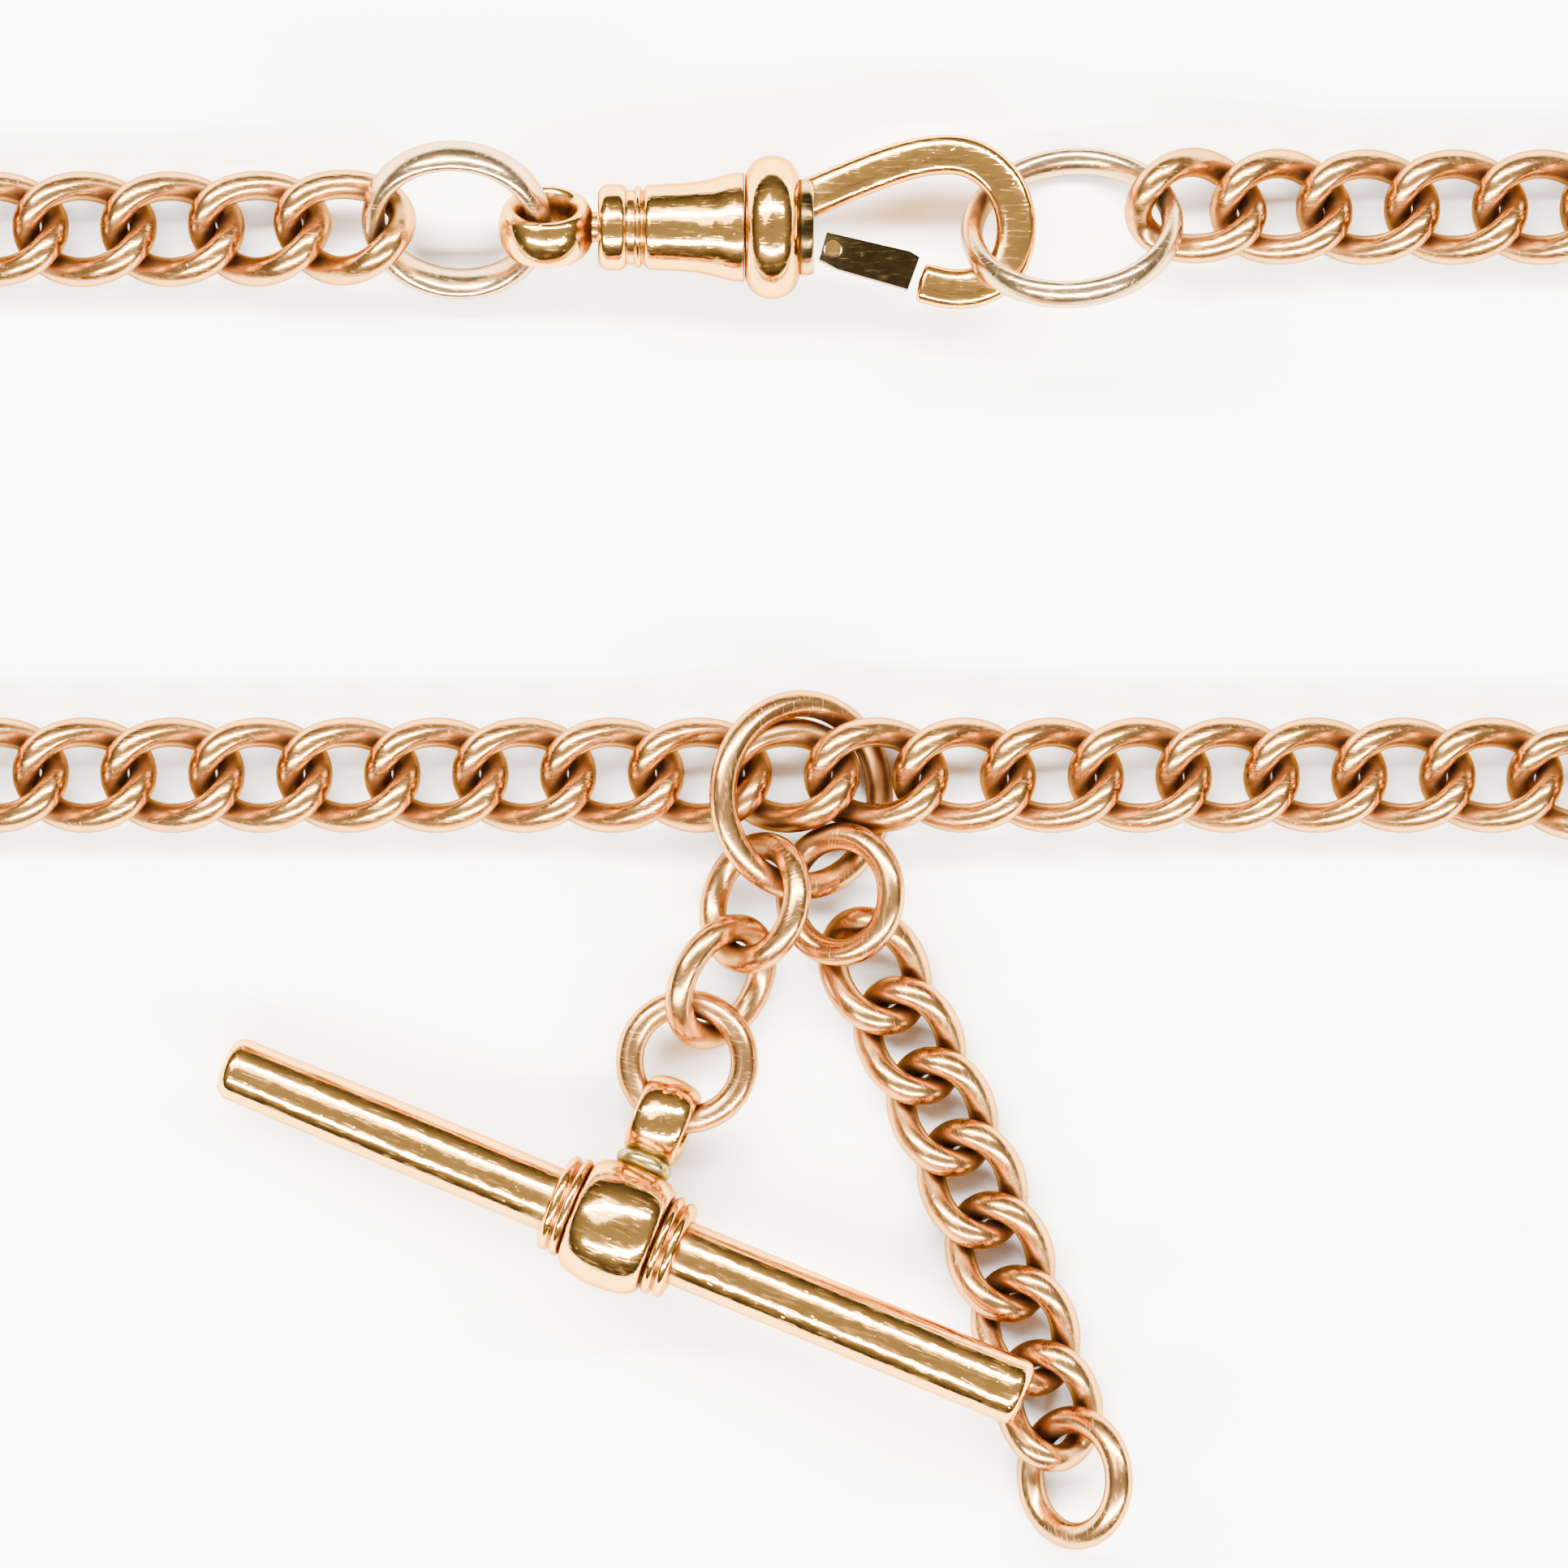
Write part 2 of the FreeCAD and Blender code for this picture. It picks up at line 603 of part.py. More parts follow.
pin_frame = FreeCAD.Placement(V(dim("gate_pin_x"), dim("gate_pin_y"), 0), FreeCAD.Rotation())
pin = doc.addObject("Part::Cylinder", "gate_pin")
pin.setExpression("Radius", "dims.gate_pin_rad")
pin.setExpression("Height", "dims.gate_thick + 2 * dims.gate_lug + 0.1")
pin_drop = FreeCAD.Placement(
    V(0, 0, -dim("gate_thick") / 2 - dim("gate_lug") - 0.05), FreeCAD.Rotation())
pin.Placement = swivel_frame.multiply(pin_frame).multiply(pin_drop)
keep(pin, "gate_pin")

gate = doc.addObject("PartDesign::Body", "gate_lever")
gate_pad = gate.newObject("PartDesign::Pad", "gate_lever_pad")
gate_pad.Profile = outline(gate, "gate_lever_outline", [
    ("dims.gate_root * -1", "dims.gate_wide * -0.38"),
    ("dims.gate_len * 0.12", "dims.gate_wide * -0.5"),
    ("dims.gate_len", "dims.gate_wide * -0.5"),
    ("dims.gate_len + 0.1", "dims.gate_wide * 0.42"),
    ("dims.gate_len * 0.9", "dims.gate_wide * 0.5"),
    ("dims.gate_root * -1", "dims.gate_wide * 0.38"),
])
gate_pad.setExpression("Length", "dims.gate_thick")
gate_pad.Midplane = True
gate_bore = gate.newObject("PartDesign::Pocket", "gate_lever_bore")
bore_sketch = gate.newObject("Sketcher::SketchObject", "gate_lever_bore_sketch")
bore_sketch.addGeometry(Part.Circle(V(0, 0, 0), V(0, 0, 1), dim("gate_pin_rad") + 0.05), False)
bore_sketch.addConstraint(Sketcher.Constraint("Coincident", 0, 3, -1, 1))
bore_size = bore_sketch.addConstraint(Sketcher.Constraint("Radius", 0, dim("gate_pin_rad") + 0.05))
bore_sketch.setExpression("Constraints[%d]" % bore_size, "dims.gate_pin_rad + 0.05")
gate_bore.Profile = bore_sketch
gate_bore.Type = 1
gate_bore.Midplane = True
gate.Tip = gate_bore
gate_turn = FreeCAD.Placement(V(0, 0, 0), FreeCAD.Rotation(UP, dim("gate_angle")))
gate.Placement = swivel_frame.multiply(pin_frame).multiply(gate_turn)
keep(gate, "gate_lever")


def lay_ring(label):
    """Placement of a ring about Z, from its middle, its tilt and the way it faces as it tilts."""
    tip = deg(label + "_tilt")
    side = heading(dim(label + "_side")) * math.sin(tip) + UP * math.cos(tip)
    middle = at(dim(label + "_x"), dim(label + "_y"), dim(label + "_z"))
    return FreeCAD.Placement(middle, FreeCAD.Rotation(UP, side))


for label in ("left_ring", "right_ring"):
    parts = ["dims." + label + end for end in ("_rad", "_wall", "_face")]
    clip = band_ring(label, *parts)
    clip.Placement = lay_ring(label).multiply(ON_EDGE)


# ---------------------------------------------------------------- centre ring and toggle branch

wire_ring("centre_ring", "centre_ring_rad", "centre_wire").Placement = lay_ring("centre")


for number in (1, 2, 3):
    label = "toggle_ring_%d" % number
    wire_ring(label, "small_ring", "small_wire").Placement = lay_ring(label)

bar_turn = FreeCAD.Rotation(UP, dim("bar_heading")).multiply(
    FreeCAD.Rotation(V(0, 1, 0), -dim("bar_rise"))).multiply(
    FreeCAD.Rotation(V(1, 0, 0), -dim("bar_droop")))
bar_frame = FreeCAD.Placement(at(dim("toggle_x"), dim("toggle_y"), dim("toggle_z")), bar_turn)

rod = turned("toggle_bar", [
    ("dims.bar_left * -1", "dims.bar_rad * 0"),
    ("dims.bar_left * -1", "dims.bar_rad"),
    ("dims.bar_right", "dims.bar_rad"),
    ("dims.bar_right", "dims.bar_rad * 0"),
])
round_rims(rod, "dims.bar_round", [(-dim("bar_left"), dim("bar_rad")), (dim("bar_right"), dim("bar_rad"))])
rod.Placement = bar_frame

barrel_body = turned("toggle_barrel", [
    ("dims.barrel_half * -1", "dims.bar_rad"),
    ("dims.barrel_half * -1", "dims.barrel_end_rad"),
    ("dims.barrel_half * -0.5", "dims.barrel_rad"),
    ("dims.barrel_half * 0.5", "dims.barrel_rad"),
    ("dims.barrel_half", "dims.barrel_end_rad"),
    ("dims.barrel_half", "dims.bar_rad"),
])
half = dim("barrel_half")
round_rims(barrel_body, "dims.barrel_half * 0.9", [
    (-half * 0.5, dim("barrel_rad")), (half * 0.5, dim("barrel_rad"))])
barrel_body.Placement = bar_frame

for label, sign in (("toggle_collar_left", -1), ("toggle_collar_right", 1)):
    near = "dims.barrel_half * %d" % sign
    far = "(dims.barrel_half + dims.bar_collar_len) * %d" % sign
    collar_body = turned(label, [
        (near, "dims.bar_rad"), (near, "dims.bar_collar_rad"),
        (far, "dims.bar_collar_rad"), (far, "dims.bar_rad")])
    near_x = half * sign
    far_x = (half + dim("bar_collar_len")) * sign
    round_rims(collar_body, "dims.bar_collar_len * 0.42", [
        (near_x, dim("bar_collar_rad")), (far_x, dim("bar_collar_rad"))])
    collar_body.Placement = bar_frame


def eye_solid():
    """The toggle's eye with its bead of solder, seated on the barrel."""
    rad = dim("eye_hole") + dim("eye_wall") / 2
    section = Part.Ellipse(V(dim("eye_width") / 2, 0, 0), V(0, dim("eye_wall") / 2, 0), V(0, 0, 0))
    section.translate(V(0, rad, 0))
    face = Part.Face(Part.Wire([section.toShape()]))
    ring = face.revolve(V(0, 0, 0), V(1, 0, 0), 360)
    ring.translate(V(0, dim("eye_reach"), 0))
    bead_top = dim("eye_reach") - rad
    bead = Part.makeCylinder(dim("neck_rad"), bead_top, V(0, 0, 0), V(0, 1, 0))
    core = Part.makeCylinder(dim("bar_rad") + 0.4, 4, V(-2, 0, 0), V(1, 0, 0))
    return ring.fuse(bead.cut(core)).cut(barrel_shape()).removeSplitter()


def barrel_shape():
    shape = barrel_body.Tip.Shape.copy()
    shape.Placement = FreeCAD.Placement()
    return shape


eye = doc.addObject("Part::Feature", "toggle_eye")
eye.Shape = eye_solid()
eye.Placement = bar_frame
keep(eye, "toggle_eye")


# ---------------------------------------------------------------- drop branch

wire_ring("drop_ring", "small_ring", "small_wire").Placement = lay_ring("drop_ring")

pivot = at(dim("drop_x"), dim("drop_y"), dim("drop_z"))
angle = dim("drop_run")
DROP_LINKS = 7
for n in range(DROP_LINKS):
    fall = (pivot.z - dim("drop_height")) * 0.5
    aim = heading(angle, -math.degrees(math.asin(fall / dim("drop_pitch"))))
    after = pivot + aim * dim("drop_pitch")
    add_link("drop_link_%d" % (n + 1), drop_link, pivot, after)
    pivot = after
    angle -= dim("drop_bend")

wire_ring("end_ring", "small_ring", "small_wire").Placement = lay_ring("end_ring")


# ---------------------------------------------------------------- checks and files

doc.recompute()
for obj in doc.Objects:
    if "Invalid" in obj.State or "Error" in obj.State:
        raise RuntimeError("%s is %s" % (obj.Label, obj.State))
for obj in nodes:
    if obj.Shape.isNull() or not obj.Shape.isValid():
        raise RuntimeError("%s has no valid shape" % obj.Label)

os.makedirs("parts", exist_ok=True)
for obj in nodes:
    obj.Shape.exportStep("parts/%s.step" % obj.Label)
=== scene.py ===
import json
import math

import bpy
import numpy as np
from mathutils import Matrix, Vector


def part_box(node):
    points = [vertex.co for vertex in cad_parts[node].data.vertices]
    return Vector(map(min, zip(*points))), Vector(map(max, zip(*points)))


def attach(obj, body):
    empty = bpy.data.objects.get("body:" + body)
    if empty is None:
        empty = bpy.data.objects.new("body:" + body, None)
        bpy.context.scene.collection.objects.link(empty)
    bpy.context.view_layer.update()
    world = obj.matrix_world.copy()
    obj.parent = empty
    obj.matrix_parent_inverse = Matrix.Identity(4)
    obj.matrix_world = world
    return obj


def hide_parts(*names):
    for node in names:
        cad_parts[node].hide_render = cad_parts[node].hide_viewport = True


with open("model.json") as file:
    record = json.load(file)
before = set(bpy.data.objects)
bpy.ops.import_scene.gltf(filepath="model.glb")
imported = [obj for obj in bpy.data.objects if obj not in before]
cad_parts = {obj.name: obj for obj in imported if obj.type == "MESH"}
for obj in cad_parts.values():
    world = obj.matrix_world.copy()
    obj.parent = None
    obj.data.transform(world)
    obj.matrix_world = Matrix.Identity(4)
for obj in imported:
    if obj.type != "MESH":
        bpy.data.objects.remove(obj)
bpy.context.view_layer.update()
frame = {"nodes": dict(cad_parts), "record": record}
MM = 0.001

# Where the picture is centred on the layout, and how wide it is, in millimetres.
VIEW_X = 1.128
VIEW_Y = 2.390
VIEW_WIDE = 63.4
LENS = 200.0
SENSOR = 36.0

# Brightness of the light tent at the horizon and overhead.
SKY_LOW = 0.05
SKY_HIGH = 0.55

# The two strip lights and the fill, in metres and watts.
STRIP_LONG = 0.9
STRIP_DEEP = 0.060
STRIP_WATTS = 22.0
FILL_WATTS = 30.0
WARM_WHITE = (1, 0.97, 0.93)

# Chain and ring sizes, in millimetres, as the model has them.
WIRE_THIN = 1.115
WIRE_WIDE = 1.31
SIDE_SWELL = 0.08
TWIST = math.radians(-46)
FULLNESS = 0.3
MAIN_LINK = (5.86, 4.69)
DROP_LINK = (5.48, 4.36)
SMALL_RING = (2.35, 0.56, 0.56)
CENTRE_RING = (3.695, 0.55, 0.55)


# ---------------------------------------------------------------- where the solids are

def node_arrays(name):
    """Vertices in millimetres and triangles of a CAD node."""
    mesh = frame["nodes"][name].data
    mesh.calc_loop_triangles()
    verts = np.array([v.co for v in mesh.vertices]) / MM
    tris = np.array([t.vertices[:] for t in mesh.loop_triangles])
    return verts, tris


def loose_solids(verts, tris):
    """The triangles of each separate solid in a node."""
    keys = {}
    same = np.array([keys.setdefault(tuple(np.round(v, 4)), len(keys)) for v in verts])
    root = list(range(len(keys)))

    def find(i):
        while root[i] != i:
            root[i] = root[root[i]]
            i = root[i]
        return i

    for a, b, c in same[tris]:
        root[find(a)] = find(b)
        root[find(b)] = find(c)
    group = np.array([find(i) for i in same[tris[:, 0]]])
    return [tris[group == g] for g in dict.fromkeys(group)]


def solid_frame(verts, tris):
    """Centre of volume and main axes, the longest first, of a closed mesh."""
    middle = verts[tris].reshape(-1, 3).mean(axis=0)
    a, b, c = (verts[tris[:, i]] - middle for i in range(3))
    vol = np.einsum("ij,ij->i", a, np.cross(b, c)) / 6
    total = vol.sum()
    centre = ((a + b + c) * vol[:, None]).sum(axis=0) / 4 / total
    spread = np.zeros((3, 3))
    for p in (a, b, c, a + b + c):
        spread += np.einsum("i,ij,ik->jk", vol / 20, p, p)
    spread -= total * np.outer(centre, centre)
    values, axes = np.linalg.eigh(spread)
    axes = axes[:, ::-1]
    if np.linalg.det(axes) < 0:
        axes[:, 2] *= -1
    return middle + centre, axes


def as_matrix(centre, axes):
    m = Matrix([list(row) for row in axes]).to_4x4()
    m.translation = Vector(centre) * MM
    return m


# ---------------------------------------------------------------- fine meshes

def grid_mesh(name, points):
    """A mesh from a grid of points that closes on itself both ways. Points are in millimetres."""
    rows, cols = points.shape[:2]
    index = np.arange(rows * cols).reshape(rows, cols)
    nxt = np.roll(index, -1, axis=0)
    faces = np.stack([index, nxt, np.roll(nxt, -1, axis=1), np.roll(index, -1, axis=1)], axis=-1)
    mesh = bpy.data.meshes.new(name)
    mesh.from_pydata((points.reshape(-1, 3) * MM).tolist(), [], faces.reshape(-1, 4).tolist())
    mesh.polygons.foreach_set("use_smooth", [True] * len(mesh.polygons))
    mesh.update()
    return mesh


def curb_points(length, width, along=128, around=24):
    """A twisted oval link about the origin, long way along X."""
    half_len = (length - WIRE_THIN) / 2
    half_wid = (width - WIRE_THIN * (1 + SIDE_SWELL)) / 2
    t = np.linspace(0, 2 * math.pi, along, endpoint=False)

    def centre(t):
        lean = TWIST * np.cos(t)
        y = half_wid * np.sin(t) * (1 + FULLNESS * np.cos(t) ** 2)
        return np.stack([half_len * np.cos(t), y * np.cos(lean), y * np.sin(lean)], axis=-1)

    run = centre(t + 1e-4) - centre(t - 1e-4)
    run /= np.linalg.norm(run, axis=1, keepdims=True)
    lean = TWIST * np.cos(t)
    axial = np.stack([0 * t, -np.sin(lean), np.cos(lean)], axis=-1)
    axial -= run * (run * axial).sum(axis=1, keepdims=True)
    axial /= np.linalg.norm(axial, axis=1, keepdims=True)
    radial = np.cross(run, axial)
    u = np.linspace(0, 2 * math.pi, around, endpoint=False)[None, :, None]
    thin = (WIRE_THIN / 2 * (1 + SIDE_SWELL * np.sin(t) ** 2))[:, None, None]
    return (centre(t)[:, None] + radial[:, None] * thin * np.cos(u)
            + axial[:, None] * (WIRE_WIDE / 2) * np.sin(u))


def ring_points(radius, wall, face, along=160, around=28):
    """A ring of oval section about Z: wall and face are half sizes of the section."""
    t = np.linspace(0, 2 * math.pi, along, endpoint=False)[:, None]
    u = np.linspace(0, 2 * math.pi, around, endpoint=False)[None, :]
    rad = radius + wall * np.cos(u)
    return np.stack([rad * np.cos(t), rad * np.sin(t), face * np.sin(u) + 0 * t], axis=-1)


def lathe_mesh(name, profile, around=96, step=0.12):
    """Turned about X from (x, radius) corners; the profile starts and ends on the axis or is a loop."""
    dense = []
    for (x0, r0), (x1, r1) in zip(profile, profile[1:]):
        cuts = max(1, int(math.hypot(x1 - x0, r1 - r0) / step))
        dense += [(x0 + (x1 - x0) * i / cuts, r0 + (r1 - r0) * i / cuts) for i in range(cuts)]
    dense.append(profile[-1])
    x, r = np.array(dense).T
    u = np.linspace(0, 2 * math.pi, around, endpoint=False)[None, :]
    pts = np.stack([x[:, None] + 0 * u, r[:, None] * np.cos(u), r[:, None] * np.sin(u)], axis=-1)
    rows = len(x)
    index = np.arange(rows * around).reshape(rows, around)
    a, b = index[:-1], index[1:]
    faces = np.stack([a, np.roll(a, -1, axis=1), np.roll(b, -1, axis=1), b], axis=-1)
    mesh = bpy.data.meshes.new(name)
    mesh.from_pydata((pts.reshape(-1, 3) * MM).tolist(), [], faces.reshape(-1, 4).tolist())
    mesh.polygons.foreach_set("use_smooth", [True] * len(mesh.polygons))
    mesh.update()
    return mesh


def arc(cx, cr, rad_x, rad_r, start, end, steps=10):
    """Corners of a rounded stretch of a turned profile; angles are in degrees from +X."""
    turns = [math.radians(start + (end - start) * i / steps) for i in range(steps + 1)]
    return [(cx + rad_x * math.cos(a), cr + rad_r * math.sin(a)) for a in turns]


# ---------------------------------------------------------------- metal

# Colour of the painted dark reflection on the gate's upward-facing surfaces.
REFLECTION_OLIVE = (0.040, 0.029, 0.010)


def metal(name, base, stain_and_shade_colour, roughness, shade_strength=0.85, patina=0.35, painted_top_reflection=0.0):
    """Worn metal: stained and finely scratched, with painted shade in its crevices and, if asked, a painted
    dark reflection on upward faces.
    """
    mat = bpy.data.materials.new(name)
    mat.use_nodes = True
    tree = mat.node_tree
    shader = tree.nodes["Principled BSDF"]

    def node(kind, **values):
        made = tree.nodes.new(kind)
        for key, value in values.items():
            if hasattr(made, key):
                setattr(made, key, value)
            else:
                made.inputs[key.replace("_", " ")].default_value = value
        return made

    def join(a, b):
        tree.links.new(a, b)

    def maths(operation, a, b, clamp=False):
        made = node("ShaderNodeMath", operation=operation, use_clamp=clamp)
        for socket, value in zip(made.inputs, (a, b)):
            if isinstance(value, (int, float)):
                socket.default_value = value
            else:
                join(value, socket)
        return made.outputs[0]

    def span(value, low, high):
        made = node("ShaderNodeMapRange", clamp=True)
        join(value, made.inputs["Value"])
        made.inputs["From Min"].default_value = low
        made.inputs["From Max"].default_value = high
        return made.outputs[0]

    def blend(factor, a, b):
        made = node("ShaderNodeMix", data_type="RGBA")
        join(factor, made.inputs["Factor"])
        for socket, value in ((made.inputs[6], a), (made.inputs[7], b)):
            if isinstance(value, tuple):
                socket.default_value = (*value, 1)
            else:
                join(value, socket)
        return made.outputs[2]

    coords = node("ShaderNodeTexCoord")
    info = node("ShaderNodeObjectInfo")
    place = node("ShaderNodeMapping")
    place.inputs["Scale"].default_value = (1000, 1000, 1000)
    join(coords.outputs["Object"], place.inputs["Vector"])
    shift = node("ShaderNodeCombineXYZ")
    for axis in range(3):
        join(maths("MULTIPLY", info.outputs["Random"], 40.0 + 13 * axis), shift.inputs[axis])
    join(shift.outputs[0], place.inputs["Location"])

    def noise(scale, detail=4.0, squash=None):
        made = node("ShaderNodeTexNoise")
        made.inputs["Scale"].default_value = scale
        made.inputs["Detail"].default_value = detail
        source = place.outputs[0]
        if squash:
            stretch = node("ShaderNodeMapping")
            stretch.inputs["Scale"].default_value = squash
            stretch.inputs["Rotation"].default_value = (0.3, 0.5, 0.6)
            join(source, stretch.inputs["Vector"])
            source = stretch.outputs[0]
        join(source, made.inputs["Vector"])
        return made.outputs["Fac"]

    broad = noise(0.45, 5)
    fine = noise(2.6, 6)
    scratch = span(noise(1.0, 3, (1.2, 9, 5)), 0.56, 0.68)
    pits = span(noise(3.4, 2), 0.70, 0.78)
    # Painted shade: where ambient occlusion finds crevices and contact zones between parts, the colour is
    # darkened towards the second colour; the pits mixed into the same mask are real wear.
    occlusion = node("ShaderNodeAmbientOcclusion", samples=6)
    occlusion.inputs["Distance"].default_value = 1.7 * MM
    shade = span(occlusion.outputs["AO"], 0.92, 0.35)
    painted_shade = maths("MULTIPLY", shade, shade_strength)
    stain = maths("MULTIPLY", span(broad, 0.48, 0.72), patina)
    shade_and_pits = maths("MAXIMUM", painted_shade, maths("MULTIPLY", pits, 0.55))
    warm = blend(stain, base, tuple(0.5 * b + 0.5 * t for b, t in zip(base, stain_and_shade_colour)))
    # The second colour tints the real stains at half strength and is the full colour of the painted shade and
    # the pits.
    colour = blend(shade_and_pits, warm, stain_and_shade_colour)
    rough = maths("ADD", maths("MULTIPLY", fine, 0.14), roughness - 0.07)
    rough = maths("ADD", rough, maths("MULTIPLY", scratch, 0.10))
    rough = maths("ADD", rough, maths("MULTIPLY", shade_and_pits, 0.25), True)
    # Painted dark reflection: surfaces whose normal points up are darkened towards dark olive.
    if painted_top_reflection:
        normal = node("ShaderNodeNewGeometry")
        split = node("ShaderNodeSeparateXYZ")
        join(normal.outputs["Normal"], split.inputs[0])
        reflection_mask = maths("MULTIPLY", span(split.outputs[2], 0.55, 0.85), painted_top_reflection)
        colour = blend(reflection_mask, colour, REFLECTION_OLIVE)
    join(colour, shader.inputs["Base Color"])
    join(rough, shader.inputs["Roughness"])
    shader.inputs["Metallic"].default_value = 1.0
    shader.inputs["Specular Tint"].default_value = (*(0.20 + 0.7 * b for b in base), 1)

    height = maths("ADD", maths("MULTIPLY", noise(0.9, 3), 0.022), maths("MULTIPLY", scratch, -0.0022))
    height = maths("ADD", height, maths("MULTIPLY", pits, -0.008))
    height = maths("ADD", height, maths("MULTIPLY", fine, 0.0035))
    bump = node("ShaderNodeBump")
    bump.inputs["Strength"].default_value = 0.8
    bump.inputs["Distance"].default_value = MM
    join(height, bump.inputs["Height"])
    join(bump.outputs[0], shader.inputs["Normal"])
    return mat


BROWN = (0.115, 0.046, 0.018)
# In these metals the darkening in crevices is painted shade, and the second colour is both the real stain tone
# and the painted shade colour.
ROSE = metal("rose_gold", (0.60, 0.305, 0.096), BROWN, 0.21, shade_strength=1.0)
PALE = metal("pale_gold", (0.66, 0.44, 0.215), (0.13, 0.075, 0.035), 0.20, shade_strength=0.95, patina=0.25)
YELLOW = metal("yellow_gold", (0.92, 0.49, 0.118), BROWN, 0.11, patina=0.3)
# The gate is gold metal; its dark olive top is a painted reflection.
GATE = metal("dark_gate", (0.62, 0.38, 0.15), (0.10, 0.08, 0.05), 0.16, painted_top_reflection=0.95)
SOLDER = metal("solder", (0.42, 0.36, 0.15), (0.12, 0.13, 0.06), 0.24, patina=0.5)


# ---------------------------------------------------------------- pieces

body_of_node = {}
for body, names in frame["record"]["behaviour"]["bodies"].items():
    for name in names:
        body_of_node[name] = body


def place(mesh, label, node, material, matrix=None, stands=True):
    """Puts a fine mesh where a CAD node is and lets it move with that node's body."""
    piece = bpy.data.objects.new(label, mesh)
    bpy.context.scene.collection.objects.link(piece)
    if matrix is not None:
        piece.matrix_world = matrix
    if not mesh.materials:
        mesh.materials.append(material)
    bpy.context.view_layer.update()
    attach(piece, body_of_node[node])
    if stands:
        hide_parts(node)
    return piece


def merged(name, points, matrices):
    """One mesh of several copies of a closed grid."""
    copies = []
    faces = []
    rows, cols = points.shape[:2]
    index = np.arange(rows * cols).reshape(rows, cols)
    nxt = np.roll(index, -1, axis=0)
    one = np.stack([index, nxt, np.roll(nxt, -1, axis=1), np.roll(index, -1, axis=1)], axis=-1)
    flat = points.reshape(-1, 3)
    for i, (centre, axes) in enumerate(matrices):
        copies.append(centre + flat @ axes.T)
        faces.append(one.reshape(-1, 4) + i * len(flat))
    mesh = bpy.data.meshes.new(name)
    mesh.from_pydata((np.vstack(copies) * MM).tolist(), [], np.vstack(faces).tolist())
    mesh.polygons.foreach_set("use_smooth", [True] * len(mesh.polygons))
    mesh.update()
    return mesh


main_points = curb_points(*MAIN_LINK)
main_mesh = grid_mesh("main_link", main_points)
drop_mesh = grid_mesh("drop_link", curb_points(*DROP_LINK))
small_mesh = grid_mesh("small_ring", ring_points(*SMALL_RING))

for name in frame["nodes"]:
    verts, tris = node_arrays(name)
    if name in ("turn_left_links", "turn_right_links"):
        spots = [solid_frame(verts, part) for part in loose_solids(verts, tris)]
        place(merged(name, main_points, spots), "fine_" + name, name, ROSE)
        continue
    spot = as_matrix(*solid_frame(verts, tris))
    if name.startswith("drop_link"):
        place(drop_mesh, "fine_" + name, name, ROSE, spot)
    elif "_link" in name:
        place(main_mesh, "fine_" + name, name, ROSE, spot)
    elif name.startswith("toggle_ring") or name in ("drop_ring", "end_ring"):
        place(small_mesh, "fine_" + name, name, ROSE, spot)
    elif name == "centre_ring":
        place(grid_mesh(name, ring_points(*CENTRE_RING)), "fine_" + name, name, ROSE, spot)
    elif name in ("left_ring", "right_ring"):
        local = (verts - np.array(spot.translation) / MM) @ np.array(spot.to_3x3())
        rho = np.hypot(local[:, 0], local[:, 1])
        sizes = ((rho.max() + rho.min()) / 2, (rho.max() - rho.min()) / 2, np.abs(local[:, 2]).max())
        place(grid_mesh(name, ring_points(*sizes)), "fine_" + name, name, PALE, spot)


# ---------------------------------------------------------------- swivel clip

def low_high(name):
    low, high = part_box(name)
    return np.array(low) / MM, np.array(high) / MM


barrel_low, barrel_high = low_high("swivel_barrel")
swivel_spot = Matrix.Translation(Vector((
    barrel_low[0], (barrel_low[1] + barrel_high[1]) / 2, (barrel_low[2] + barrel_high[2]) / 2)) * MM)
barrel_len = barrel_high[0] - barrel_low[0]
flare = (barrel_high[1] - barrel_low[1]) / 2
BEAD = 1.74

barrel_profile = [(0.0, 0.74), (0.0, BEAD * 0.86)]
barrel_profile += arc(0.42, BEAD * 0.82, 0.40, BEAD * 0.18, 180, 90)
barrel_profile += arc(0.80, BEAD * 0.82, 0.36, BEAD * 0.18, 90, 10)
barrel_profile += [(1.24, BEAD * 0.87), (1.42, BEAD * 0.87)]
barrel_profile += arc(1.60, BEAD * 0.86, 0.14, BEAD * 0.10, 180, 0, 6)
barrel_profile += [(1.80, BEAD * 0.87)]
barrel_profile += [
    (2.0, BEAD * 0.985), (barrel_len * 0.56, BEAD * 1.02), (barrel_len * 0.68, BEAD * 1.06),
    (barrel_len * 0.78, BEAD * 1.13), (barrel_len * 0.87, flare * 0.97),
    (barrel_len * 0.93, flare), (barrel_len - 0.02, flare), (barrel_len - 0.02, 1.2)]
place(lathe_mesh("barrel", barrel_profile), "fine_barrel", "swivel_barrel", YELLOW, swivel_spot)

collar_low, collar_high = low_high("swivel_collar")
collar_start = collar_low[0] - barrel_low[0]
collar_len = collar_high[0] - collar_low[0]
collar_rad = (collar_high[1] - collar_low[1]) / 2
profile = [(collar_start, 0.0), (collar_start, collar_rad * 0.66)]
profile += arc(collar_start + collar_len / 2, collar_rad * 0.66, collar_len / 2, collar_rad * 0.34, 180, 0, 28)
profile += [(collar_start + collar_len, 0.0)]
place(lathe_mesh("collar", profile), "fine_collar", "swivel_collar", YELLOW, swivel_spot)

loop_verts, loop_tris = node_arrays("swivel_loop")
loop_spot = as_matrix(*solid_frame(loop_verts, loop_tris))
local = (loop_verts - np.array(loop_spot.translation) / MM) @ np.array(loop_spot.to_3x3())
rho = np.hypot(local[:, 0], local[:, 1])
loop_mesh = grid_mesh("loop", ring_points(
    (rho.max() + rho.min()) / 2, (rho.max() - rho.min()) / 2, np.abs(local[:, 2]).max()))
place(loop_mesh, "fine_loop", "swivel_loop", YELLOW, loop_spot)

